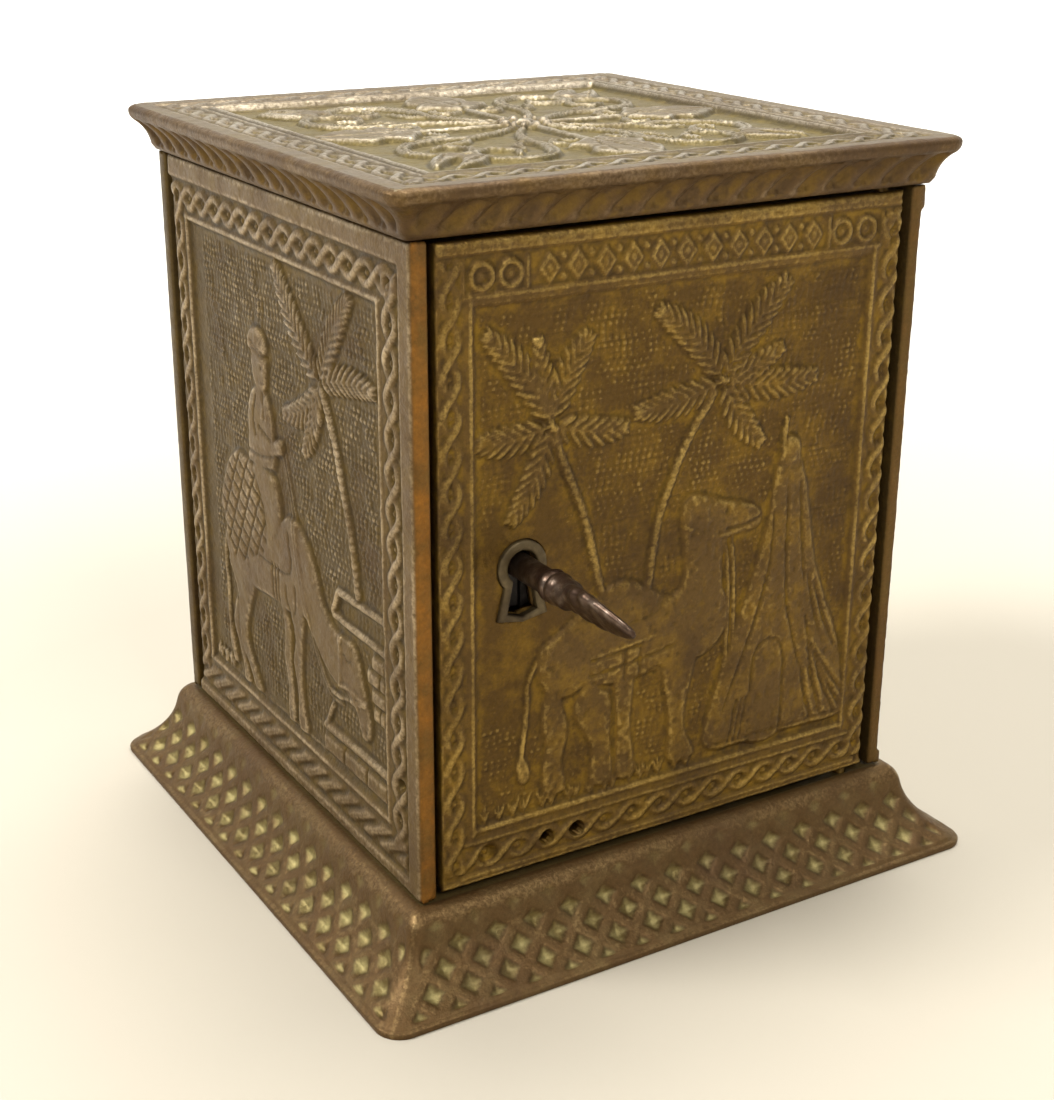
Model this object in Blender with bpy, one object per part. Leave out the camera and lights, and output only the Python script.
"""Toy safe coin bank in cast iron, modelled as it is assembled.

Four panels stand between a flared base and a moulded top, and four tie rods hold the
stack together.  The front panel is a door on two cast pivots at its right edge.  A lock
on the back of the door has a cam that the key turns; the cam's pin slides the bolt.
Metres, +Z up, door facing -Y.  Lengths below are in millimetres, in the body's own
frame: X = 0 and Y = 0 at the middle of the body, Z = 0 under the foot.
"""

import math

import bmesh
import bpy
from mathutils import Matrix, Vector

MM = 0.001
GAP = 0.3                     # free gap between two pieces that meet

# Body
BODY_WIDTH = 86.5             # over the outer faces of the side panels
BODY_DEPTH = 87.2             # from the door's face to the back panel's outer face
HALF_X = BODY_WIDTH / 2
HALF_Y = BODY_DEPTH / 2
FOOT_Z = 0.0
DECK_Z = 13.2                 # top of the base, where the panels stand
CORNICE_Z = 109.0             # underside of the top casting
HEIGHT = 116.0
PANEL_THICKNESS = 2.8

# Base casting
BASE_SIDE = 11.05             # how far the foot stands out past the body, each side
BASE_FRONT = 10.8
BASE_BACK = 8.8
DECK_THICKNESS = 2.8
FOOT_RADIUS = 4.0             # plan radius of the foot's corners

# Top casting
TOP_OVERHANG = 4.0
TOP_PLATE = 3.4               # thickness over the recess underneath
TOP_RIM = 5.6                 # width of the flat rim that rests on the panels

# Door and its pivots
DOOR_THICKNESS = 3.0
DOOR_GAP_LEFT = 1.1
DOOR_GAP_RIGHT = 1.2
DOOR_GAP_ENDS = 0.8
HINGE_X = 35.5
HINGE_Y = -HALF_Y + 1.7
PIVOT_RADIUS = 1.1
PIVOT_LENGTH = 2.2
FOOT_HOLE_RADIUS = 1.3        # two small holes in the door's lower border
FOOT_HOLE_X = (-21.8, -16.5)
FOOT_HOLE_Z = 18.1

# Panels
PANEL_BORDER = 8.5
DOOR_BORDER = 7.5
FIELD_SINK = 0.8              # how far the field inside a border is sunk
LUG_THICKNESS = 1.6
LUG_HALF_LENGTH = 5.0
LUG_RISE = 1.8                # lugs on the deck that locate the panels
SIDE_LUG_Y = (-16.0, 18.0)
BACK_LUG_X = 16.0

# Coin slot in the back
SLOT_HALF = 14.0
SLOT_LOW_Z = 90.0
SLOT_HIGH_Z = 93.0

# Lock, around the key's axis
KEY_X = -26.0
KEY_Z = 61.8
KEYHOLE_RADIUS = 2.4
SLOT_TOP_HALF = 1.5           # half width of the keyhole's slot where it meets the hole
SLOT_FOOT_HALF = 2.45
SLOT_DEPTH = 7.2
RIM_WIDTH = 1.35              # escutcheon's rim around the keyhole
RIM_DEPTH = 1.8               # pocket in the door that the escutcheon sits in
CAM_RADIUS = 7.6
CAM_THROW = 5.0               # travel of the bolt
CAM_PIN_RADIUS = 1.1
CAM_PIN_ORBIT = CAM_THROW / math.sqrt(2.0)     # a quarter turn moves the pin by the throw
CAM_PIN_OFFSET = CAM_PIN_ORBIT / math.sqrt(2.0)

# Layers behind the door, as Y positions
DOOR_FRONT = -HALF_Y
DOOR_BACK = DOOR_FRONT + DOOR_THICKNESS
CAM_FRONT = DOOR_BACK + 0.4
CAM_BACK = CAM_FRONT + 4.8
BOLT_FRONT = CAM_BACK + 0.4
BOLT_BACK = BOLT_FRONT + 1.8
CASE_BACK = BOLT_BACK + 1.8
CASE_WALL = 1.2

# Key
SHANK_RADIUS = 1.95
BIT_LENGTH = 6.9
BIT_HALF = 0.9
SHANK_END = CAM_BACK - 1.4
COLLAR_Y = -51.5
COLLAR_RADIUS = 2.3
BOW_TIP_Y = -70.0
BOW_TURN = math.radians(-53.0)                 # turn of the bow's plane against the bit

# Tie rods
ROD_RADIUS = 2.0
ROD_X = 36.0
ROD_FRONT_Y = -27.0
ROD_BACK_Y = 36.0
NUT_HALF = 3.5
NUT_HEIGHT = 3.0

# Keeper for the bolt, riveted to the left panel
KEEPER_RIVET_Y = -33.0
KEEPER_BACK_Y = -29.6

# The row's origin is under the middle of the whole outline, key included.
FRAME_Y = -(BOW_TIP_Y + HALF_Y + BASE_BACK) / 2


def clear_scene():
    for item in list(bpy.data.objects):
        bpy.data.objects.remove(item, do_unlink=True)


def material(name, colour, roughness, metallic):
    finish = bpy.data.materials.new(name)
    finish.use_nodes = True
    shader = finish.node_tree.nodes["Principled BSDF"]
    shader.inputs["Base Color"].default_value = (*colour, 1.0)
    shader.inputs["Roughness"].default_value = roughness
    shader.inputs["Metallic"].default_value = metallic
    return finish


def make_object(name, bm, finish=None, location=(0.0, 0.0, 0.0), turn=0.0):
    """Turn a millimetre bmesh into an object at a place in the body's frame."""
    bmesh.ops.scale(bm, vec=(MM, MM, MM), verts=bm.verts)
    bmesh.ops.recalc_face_normals(bm, faces=bm.faces)
    mesh = bpy.data.meshes.new(name)
    bm.to_mesh(mesh)
    bm.free()
    item = bpy.data.objects.new(name, mesh)
    x, y, z = location
    item.location = (x * MM, (y + FRAME_Y) * MM, z * MM)
    item.rotation_euler = (0.0, 0.0, turn)
    bpy.context.collection.objects.link(item)
    if finish is not None:
        mesh.materials.append(finish)
        mesh.shade_smooth()
        mesh.set_sharp_from_angle(angle=math.radians(35))
    return item


def box(low, high):
    bm = bmesh.new()
    size = [b - a for a, b in zip(low, high)]
    middle = [(a + b) / 2 for a, b in zip(low, high)]
    bmesh.ops.create_cube(bm, size=1.0, matrix=Matrix.Translation(middle) @ Matrix.Diagonal((*size, 1.0)))
    return bm


def cylinder(radius, start, end, axis="Z", sides=24, centre=(0.0, 0.0)):
    """A cylinder along an axis; centre holds the two coordinates across the axis."""
    bm = bmesh.new()
    bmesh.ops.create_cone(
        bm, cap_ends=True, segments=sides, radius1=radius, radius2=radius, depth=end - start)
    a, b = centre
    middle = (start + end) / 2
    if axis == "Z":
        place = Matrix.Translation((a, b, middle))
    elif axis == "Y":
        place = Matrix.Translation((a, middle, b)) @ Matrix.Rotation(math.pi / 2, 4, "X")
    else:
        place = Matrix.Translation((middle, a, b)) @ Matrix.Rotation(math.pi / 2, 4, "Y")
    bm.transform(place)
    return bm


def loft(rings, closed=False):
    """Skin rings of equal length; the ends are capped, or joined where closed."""
    bm = bmesh.new()
    rows = [[bm.verts.new(point) for point in ring] for ring in rings]
    count = len(rows[0])
    pairs = list(zip(rows, rows[1:]))
    if closed:
        pairs.append((rows[-1], rows[0]))
    for lower, upper in pairs:
        for i in range(count):
            j = (i + 1) % count
            bm.faces.new((lower[i], lower[j], upper[j], upper[i]))
    if not closed:
        bm.faces.new(list(reversed(rows[0])))
        bm.faces.new(rows[-1])
    return bm


def prism(outline, start, end):
    """An outline in X and Z, drawn out along Y."""
    return loft([[(x, y, z) for x, z in outline] for y in (start, end)])


def rounded_rectangle(x0, x1, y0, y1, radius, z, steps=4):
    points = []
    corners = ((x1, y0, -90), (x1, y1, 0), (x0, y1, 90), (x0, y0, 180))
    for x, y, start in corners:
        cx = x - math.copysign(radius, x)
        cy = y - math.copysign(radius, y)
        for step in range(steps + 1):
            angle = math.radians(start + 90 * step / steps)
            points.append((cx + radius * math.cos(angle), cy + radius * math.sin(angle), z))
    return points


def quadratic(p0, p1, p2, steps):
    """Points of a quadratic curve after its first one."""
    points = []
    for step in range(1, steps + 1):
        t = step / steps
        points.append(tuple(
            (1 - t) ** 2 * a + 2 * t * (1 - t) * b + t * t * c for a, b, c in zip(p0, p1, p2)))
    return points


def modify(target, tool_bm, operation):
    """Cut or join a hidden tool shape, drawn in the body's frame."""
    tool = make_object(target.name + "_tool", tool_bm)
    tool.hide_render = True
    tool.display_type = "WIRE"
    change = target.modifiers.new(operation.title(), "BOOLEAN")
    change.operation = operation
    change.solver = "EXACT"
    change.object = tool


def cut(target, tool_bm):
    modify(target, tool_bm, "DIFFERENCE")


def add(target, tool_bm):
    modify(target, tool_bm, "UNION")


def bevel(target, width, segments=2):
    change = target.modifiers.new("Edges", "BEVEL")
    change.width = width * MM
    change.segments = segments
    change.limit_method = "ANGLE"
    change.angle_limit = math.radians(40)


def framed_plate(width, height, thickness, border, recess):
    """A plate facing -Y, its face at Y = 0, with a sunk field inside a flat border."""
    bm = box((-width / 2, 0.0, 0.0), (width / 2, thickness, height))
    bm.faces.ensure_lookup_table()
    face = min(bm.faces, key=lambda f: f.calc_center_median().y)
    bmesh.ops.inset_region(bm, faces=[face], thickness=border)
    bmesh.ops.inset_region(bm, faces=[face], thickness=recess)
    bmesh.ops.translate(bm, verts=face.verts, vec=(0.0, recess, 0.0))
    return bm


def keyhole_outline(offset, steps=10):
    """A round hole over a flared slot with a curved foot, grown outwards by an offset."""
    radius = KEYHOLE_RADIUS + offset
    top_half = SLOT_TOP_HALF + offset * 0.9
    foot_half = SLOT_FOOT_HALF + offset * 1.05
    foot_z = -SLOT_DEPTH - offset * 0.55
    points = [(foot_half, foot_z + 0.5), (0.0, foot_z - 0.2), (-foot_half, foot_z + 0.5)]
    lean = math.asin(top_half / radius)
    first = math.pi * 1.5 - lean
    last = -math.pi / 2 + lean
    for step in range(steps + 1):
        angle = first + (last - first) * step / steps
        points.append((radius * math.cos(angle), radius * math.sin(angle)))
    return [(KEY_X + x, KEY_Z + z) for x, z in reversed(points)]


def base_ring(offset, z, radius):
    """A ring around the body at a fraction of the base's overhang."""
    reach = offset / BASE_SIDE
    return rounded_rectangle(
        -HALF_X - offset, HALF_X + offset,
        -HALF_Y - reach * BASE_FRONT, HALF_Y + reach * BASE_BACK, radius, z)


def base_casting(finish):
    """Flared skirt with a flat deck, hollow underneath."""
    under = DECK_Z - DECK_THICKNESS
    inner = [(-2.2, under)] + quadratic((-2.2, under), (0.9, 4.4), (5.2, 2.0), 4) + [(8.0, FOOT_Z)]
    shoulder = quadratic((0.5, DECK_Z), (2.5, 12.6), (3.0, 10.0), 3)
    flare = quadratic((3.0, 10.0), (4.1, 4.9), (10.3, 1.4), 6)
    outer = [(10.9, FOOT_Z), (BASE_SIDE, 0.7)]
    outer += list(reversed(flare))
    outer += list(reversed(shoulder))
    outer.append((0.5, DECK_Z))
    rings = []
    for offset, z in inner + outer:
        radius = max(0.8, 0.8 + (FOOT_RADIUS - 0.8) * offset / BASE_SIDE)
        rings.append(base_ring(offset, z, radius))
    base = make_object("base_casting", loft(rings), finish)
    lug_outer = HALF_X - PANEL_THICKNESS - GAP
    lug_back = HALF_Y - PANEL_THICKNESS - GAP
    lug_top = DECK_Z + LUG_RISE
    for side in (-1, 1):
        for y in SIDE_LUG_Y:
            x0, x1 = sorted((side * lug_outer, side * (lug_outer - LUG_THICKNESS)))
            add(base, box((x0, y - LUG_HALF_LENGTH, under + 1), (x1, y + LUG_HALF_LENGTH, lug_top)))
        x = side * BACK_LUG_X
        add(base, box(
            (x - LUG_HALF_LENGTH, lug_back - LUG_THICKNESS, under + 1),
            (x + LUG_HALF_LENGTH, lug_back, lug_top)))
    for x, y in rod_places():
        cut(base, cylinder(ROD_RADIUS + GAP, under - 2, DECK_Z + 2, centre=(x, y), sides=12))
    cut(base, cylinder(PIVOT_RADIUS + GAP, under - 2, DECK_Z + 2, centre=(HINGE_X, HINGE_Y), sides=16))


def top_ring(offset, z, radius):
    return rounded_rectangle(
        -HALF_X - offset, HALF_X + offset, -HALF_Y - offset, HALF_Y + offset, radius, z)


def top_casting(finish):
    """Moulded lid: a cove under a rounded nose, and a recess underneath."""
    recess = HEIGHT - TOP_PLATE
    profile = [(-TOP_RIM, recess), (-TOP_RIM, CORNICE_Z), (0.4, CORNICE_Z), (1.0, CORNICE_Z + 0.8)]
    profile += quadratic(profile[-1], (1.4, CORNICE_Z + 3.2), (3.2, CORNICE_Z + 4.6), 3)
    profile += quadratic(
        profile[-1], (TOP_OVERHANG + 0.9, HEIGHT - 1.3), (TOP_OVERHANG - 1.0, HEIGHT), 4)
    rings = []
    for offset, z in profile:
        rings.append(top_ring(offset, z, max(0.8, 0.6 * (1 + offset))))
    top = make_object("top_casting", loft(rings), finish)
    for x, y in rod_places():
        add(top, cylinder(4.2, CORNICE_Z + 0.6, recess + 0.5, centre=(x, y), sides=16))
    for x, y in rod_places():
        cut(top, cylinder(ROD_RADIUS + GAP, CORNICE_Z - 2, recess + 0.7, centre=(x, y), sides=12))
    cut(top, cylinder(
        PIVOT_RADIUS + GAP, CORNICE_Z - 2, CORNICE_Z + PIVOT_LENGTH,
        centre=(HINGE_X, HINGE_Y), sides=16))


def rod_places():
    return [(x, y) for y in (ROD_FRONT_Y, ROD_BACK_Y) for x in (-ROD_X, ROD_X)]


def side_panels(finish):
    """Left and right panels, from the door's plane back to the back panel."""
    back_end = HALF_Y - PANEL_THICKNESS - 0.6
    depth = back_end + HALF_Y
    height = CORNICE_Z - DECK_Z - 2 * GAP
    for name, side in (("left_side_panel", -1), ("right_side_panel", 1)):
        plate = framed_plate(depth, height, PANEL_THICKNESS, PANEL_BORDER, FIELD_SINK)
        middle = (back_end - HALF_Y) / 2
        panel = make_object(
            name, plate, finish, (side * HALF_X, middle, DECK_Z + GAP), side * math.pi / 2)
        bevel(panel, 0.6)
        if side < 0:
            for z in keeper_rivet_heights():
                cut(panel, cylinder(1.5, -HALF_X + 1.4, -HALF_X + 5, "X", 12, (KEEPER_RIVET_Y, z)))


def back_panel(finish):
    """Full-width back with the coin slot near its top."""
    height = CORNICE_Z - DECK_Z - 2 * GAP
    plate = framed_plate(BODY_WIDTH, height, PANEL_THICKNESS, PANEL_BORDER, FIELD_SINK)
    panel = make_object("back_panel", plate, finish, (0.0, HALF_Y, DECK_Z + GAP), math.pi)
    bevel(panel, 0.6)
    cut(panel, box((-SLOT_HALF, HALF_Y - 6, SLOT_LOW_Z), (SLOT_HALF, HALF_Y + 3, SLOT_HIGH_Z)))


def door_panel(finish):
    """Door with its pivots, the cam's boss and the posts for the lock's screws."""
    x0 = -HALF_X + PANEL_THICKNESS + DOOR_GAP_LEFT
    x1 = HALF_X - PANEL_THICKNESS - DOOR_GAP_RIGHT
    z0 = DECK_Z + DOOR_GAP_ENDS
    z1 = CORNICE_Z - DOOR_GAP_ENDS
    plate = framed_plate(x1 - x0, z1 - z0, DOOR_THICKNESS, DOOR_BORDER, FIELD_SINK)
    door = make_object("door_panel", plate, finish, ((x0 + x1) / 2, DOOR_FRONT, z0))
    bevel(door, 0.6)
    pivot = (HINGE_X, HINGE_Y)
    add(door, cylinder(PIVOT_RADIUS, z0 - PIVOT_LENGTH - 0.4, z0 + 3, centre=pivot, sides=16))
    add(door, cylinder(PIVOT_RADIUS, z1 - 3, z1 + PIVOT_LENGTH + 0.4, centre=pivot, sides=16))
    key = (KEY_X, KEY_Z)
    add(door, cylinder(CAM_RADIUS + 1.3, DOOR_BACK - 0.5, CAM_BACK - 1.2, "Y", 32, key))
    for x, z in post_places():
        add(door, cylinder(2.2, DOOR_BACK - 0.5, CASE_BACK - CASE_WALL - 0.4, "Y", 16, (x, z)))
        cut(door, cylinder(1.4, DOOR_BACK + 1.5, CASE_BACK, "Y", 12, (x, z)))
    cut(door, cylinder(CAM_RADIUS + 0.4, DOOR_BACK, CAM_BACK, "Y", 32, key))
    cut(door, prism(keyhole_outline(0.0), DOOR_FRONT - 2, DOOR_BACK + 2))
    cut(door, prism(keyhole_outline(RIM_WIDTH + GAP), DOOR_FRONT - 2, DOOR_FRONT + RIM_DEPTH))
    for x in FOOT_HOLE_X:
        cut(door, cylinder(FOOT_HOLE_RADIUS, DOOR_FRONT - 2, DOOR_BACK + 2, "Y", 12, (x, FOOT_HOLE_Z)))


def post_places():
    """Two posts for the lock's screws, at opposite corners of the case."""
    return [(KEY_X + 8.7, KEY_Z + 8.8), (KEY_X - 6.7, KEY_Z - 8.8)]


def keyhole_escutcheon(finish):
    """Raised rim let into the door around the keyhole."""
    inner = keyhole_outline(0.0)
    outer = keyhole_outline(RIM_WIDTH)
    front = DOOR_FRONT + 0.1
    back = DOOR_FRONT + RIM_DEPTH - GAP
    rings = []
    for outline, y in ((outer, back), (outer, front), (inner, front), (inner, back)):
        rings.append([(x, y, z) for x, z in outline])
    make_object("keyhole_escutcheon", loft(rings, closed=True), finish)


def lock_case(finish):
    """Tray over the lock, open towards the door, with a slot for the bolt."""
    x0, x1 = KEY_X - 10.4, KEY_X + 12.4
    z0, z1 = KEY_Z - 12.5, KEY_Z + 12.5
    front = DOOR_BACK + GAP
    case = make_object("lock_case", box((x0, front, z0), (x1, CASE_BACK, z1)), finish)
    bevel(case, 0.5)
    cut(case, box(
        (x0 + CASE_WALL, front - 2, z0 + CASE_WALL),
        (x1 - CASE_WALL, CASE_BACK - CASE_WALL, z1 - CASE_WALL)))
    cut(case, box(
        (x0 - 1, BOLT_FRONT - GAP, KEY_Z - 3.0 - GAP),
        (x0 + CASE_WALL + 0.5, BOLT_BACK + GAP, KEY_Z + 4.0 + GAP)))
    for x, z in post_places():
        cut(case, cylinder(1.5, CASE_BACK - 2, CASE_BACK + 2, "Y", 12, (x, z)))


def lock_screws(finish):
    for index, (x, z) in enumerate(post_places(), start=1):
        head_front = CASE_BACK + GAP
        screw = make_object(
            f"lock_screw_{index}", cylinder(2.4, head_front, head_front + 1.3, "Y", 16, (x, z)), finish)
        bevel(screw, 0.4)
        add(screw, cylinder(1.1, DOOR_BACK + 3.2, head_front + 0.5, "Y", 12, (x, z)))
        cut(screw, box(
            (x - 3, head_front + 0.8, z - 0.3), (x + 3, head_front + 2, z + 0.3)))


def lock_cam(finish):
    """Round cam with a socket for the key's bit and a pin that drives the bolt."""
    key = (KEY_X, KEY_Z)
    cam = make_object("lock_cam", cylinder(CAM_RADIUS, CAM_FRONT, CAM_BACK, "Y", 32, key), finish)
    pin = (KEY_X + CAM_PIN_OFFSET, KEY_Z + CAM_PIN_OFFSET)
    add(cam, cylinder(CAM_PIN_RADIUS, CAM_BACK - 0.5, BOLT_BACK + GAP, "Y", 12, pin))
    cut(cam, cylinder(SHANK_RADIUS + 0.4, CAM_FRONT - 2, CAM_BACK - 1.0, "Y", 24, key))
    slot = BIT_HALF + 0.4
    cut(cam, box(
        (KEY_X - slot, CAM_FRONT - 2, KEY_Z - CAM_RADIUS - 2), (KEY_X + slot, CAM_BACK - 1.0, KEY_Z)))


def lock_bolt(finish):
    """Sliding bolt: a tongue, and a plate with the upright slot that the cam's pin works in."""
    outline = [
        (-8.9, -3.0), (6.6, -3.0), (6.6, 6.6), (-3.8, 6.6), (-3.8, 4.0), (-8.9, 4.0)]
    shape = prism([(KEY_X + x, KEY_Z + z) for x, z in outline], BOLT_FRONT, BOLT_BACK)
    bolt = make_object("lock_bolt", shape, finish)
    slot_x = KEY_X + CAM_PIN_OFFSET
    half = CAM_PIN_RADIUS + 0.45
    cut(bolt, box(
        (slot_x - half, BOLT_FRONT - 1, KEY_Z + 0.9), (slot_x + half, BOLT_BACK + 1, KEY_Z + 5.1)))


def bolt_spring(finish):
    """Bowed leaf over the bolt, its ends under the case's top wall."""
    half_span = 6.3
    steps = 10
    lower = []
    for step in range(steps + 1):
        x = -half_span + 2 * half_span * step / steps
        lower.append((x, 6.95 + 3.6 * (x / half_span) ** 2))
    upper = [(x, z + 0.45) for x, z in reversed(lower)]
    outline = [(KEY_X + x, KEY_Z + z) for x, z in lower + upper]
    make_object("bolt_spring", prism(outline, BOLT_FRONT + 0.1, BOLT_BACK - 0.1), finish)


def keeper_rivet_heights():
    return (KEY_Z - 8.0, KEY_Z + 9.0)


def bolt_keeper(finish):
    """Iron strip on the left panel that the bolt shoots behind."""
    outside = -HALF_X + PANEL_THICKNESS + GAP
    leg_front = DOOR_BACK + 0.7
    window_front = leg_front + 2.6
    low, high = KEY_Z - 11.5, KEY_Z + 12.5
    keeper = make_object(
        "bolt_keeper", box((outside, leg_front, low), (outside + 1.2, KEEPER_BACK_Y, high)), finish)
    add(keeper, box((outside, leg_front, low), (outside + 2.35, window_front, high)))
    cut(keeper, box(
        (outside - 1, window_front, KEY_Z - 4.2), (outside + 4, BOLT_BACK + 1.2, KEY_Z + 5.2)))
    for z in keeper_rivet_heights():
        cut(keeper, cylinder(1.5, outside - 1, outside + 3, "X", 12, (KEEPER_RIVET_Y, z)))


def keeper_rivets(finish):
    outside = -HALF_X + PANEL_THICKNESS + GAP
    for index, z in enumerate(keeper_rivet_heights(), start=1):
        head = outside + 1.2 + GAP
        place = (KEEPER_RIVET_Y, z)
        rivet = make_object(
            f"keeper_rivet_{index}", cylinder(2.1, head, head + 1.0, "X", 16, place), finish)
        bevel(rivet, 0.5)
        add(rivet, cylinder(1.2, -HALF_X + 1.7, head + 0.4, "X", 12, place))


def key(finish):
    """Key with a solid shank, a plain bit, a collar and an oval bow."""
    place = (KEY_X, KEY_Z)
    item = make_object("key", cylinder(SHANK_RADIUS, BOW_TIP_Y + 13.5, SHANK_END, "Y", 20, place), finish)
    add(item, box(
        (KEY_X - BIT_HALF, SHANK_END - 3.1, KEY_Z - BIT_LENGTH),
        (KEY_X + BIT_HALF, SHANK_END - 0.1, KEY_Z - 1.0)))
    add(item, cylinder(COLLAR_RADIUS, COLLAR_Y - 0.9, COLLAR_Y + 0.9, "Y", 20, place))
    add(item, bow())


def bow():
    """Oval ring in a plane through the key's axis, thinner towards its tip."""
    half_length = 8.2
    half_width = 7.4
    centre_y = BOW_TIP_Y + half_length
    across = Vector((math.sin(BOW_TURN), 0.0, math.cos(BOW_TURN)))
    normal = Vector((math.cos(BOW_TURN), 0.0, -math.sin(BOW_TURN)))
    along = Vector((0.0, 1.0, 0.0))
    rings = []
    for step in range(24):
        angle = 2 * math.pi * step / 24
        out = along * math.cos(angle) + across * math.sin(angle)
        taper = (1 + math.cos(angle)) / 2
        thickness = 0.9 + 0.8 * taper
        middle = Vector((KEY_X, centre_y, KEY_Z))
        middle += along * (half_length - 1.3) * math.cos(angle)
        middle += across * (half_width - 1.3) * math.sin(angle)
        ring = []
        for side in range(8):
            turn = 2 * math.pi * side / 8
            ring.append(middle + out * 1.3 * math.cos(turn) + normal * thickness * math.sin(turn))
        rings.append(ring)
    return loft(rings, closed=True)


def tie_rods(rod_finish, nut_finish):
    """Rods up into the top's blind bosses, with square nuts under the deck."""
    nut_top = DECK_Z - DECK_THICKNESS - GAP
    for index, (x, y) in enumerate(rod_places(), start=1):
        make_object(
            f"tie_rod_{index}",
            cylinder(ROD_RADIUS, 5.6, HEIGHT - TOP_PLATE + 0.4, centre=(x, y), sides=12), rod_finish)
        nut = make_object(
            f"tie_nut_{index}",
            box((x - NUT_HALF, y - NUT_HALF, nut_top - NUT_HEIGHT), (x + NUT_HALF, y + NUT_HALF, nut_top)),
            nut_finish)
        bevel(nut, 0.4, 1)
        cut(nut, cylinder(ROD_RADIUS + GAP, nut_top - 5, nut_top + 2, centre=(x, y), sides=12))


def main():
    clear_scene()
    gilt_iron = material("gilt_iron", (0.23, 0.15, 0.05), 0.55, 0.6)
    brown_iron = material("brown_iron", (0.16, 0.10, 0.06), 0.55, 0.6)
    grey_iron = material("grey_iron", (0.13, 0.11, 0.08), 0.5, 0.7)
    key_steel = material("key_steel", (0.14, 0.09, 0.07), 0.4, 0.9)
    lock_steel = material("lock_steel", (0.25, 0.24, 0.22), 0.45, 0.9)
    base_casting(brown_iron)
    top_casting(brown_iron)
    side_panels(brown_iron)
    back_panel(brown_iron)
    door_panel(gilt_iron)
    keyhole_escutcheon(grey_iron)
    lock_case(grey_iron)
    lock_screws(lock_steel)
    lock_cam(lock_steel)
    lock_bolt(lock_steel)
    bolt_spring(lock_steel)
    bolt_keeper(grey_iron)
    keeper_rivets(lock_steel)
    key(key_steel)
    tie_rods(lock_steel, grey_iron)


main()
